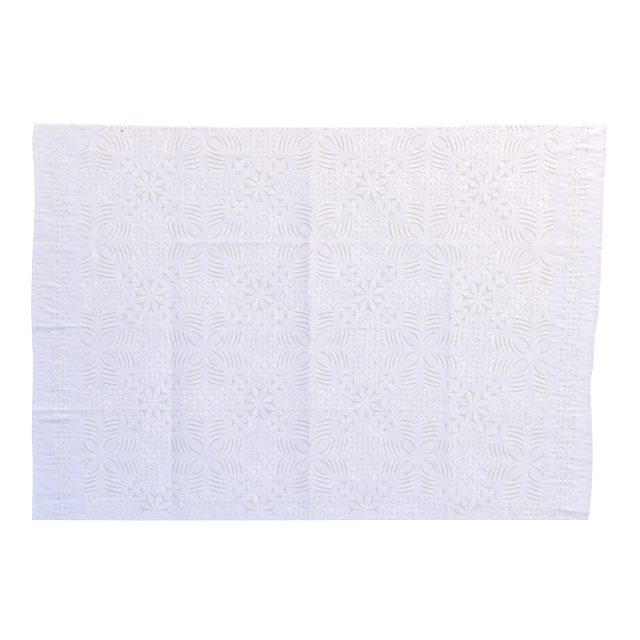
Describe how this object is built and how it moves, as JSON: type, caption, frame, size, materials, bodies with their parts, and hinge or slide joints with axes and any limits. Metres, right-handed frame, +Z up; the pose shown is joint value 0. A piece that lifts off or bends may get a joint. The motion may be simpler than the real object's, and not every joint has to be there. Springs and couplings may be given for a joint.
{
  "type": "cut-work bedcover",
  "caption": "Flat white cotton bedcover: a cut-work field of four-leaved flowers and stars between two border strips, laid face up with its fold creases.",
  "frame": {"origin": "under the middle of the cover's box, on the surface it lies on", "axes": "+X across the cover to the right, +Y to its upper edge, +Z up out of its face"},
  "size_m": [2.3024, 1.5972, 0.0117],
  "materials": {
    "ground_cotton": "thin plain-woven cotton, warm white, matte",
    "field_cotton": "fine plain-woven white cotton, matte, slits turned under by hand",
    "border_cotton": "fine plain-woven white cotton, matte, faintly rippled"
  },
  "bodies": {
    "root": {"ground_cloth": "ground_cotton", "cutwork_field": "field_cotton", "border_left": "border_cotton", "border_right": "border_cotton"}
  },
  "joints": []
}
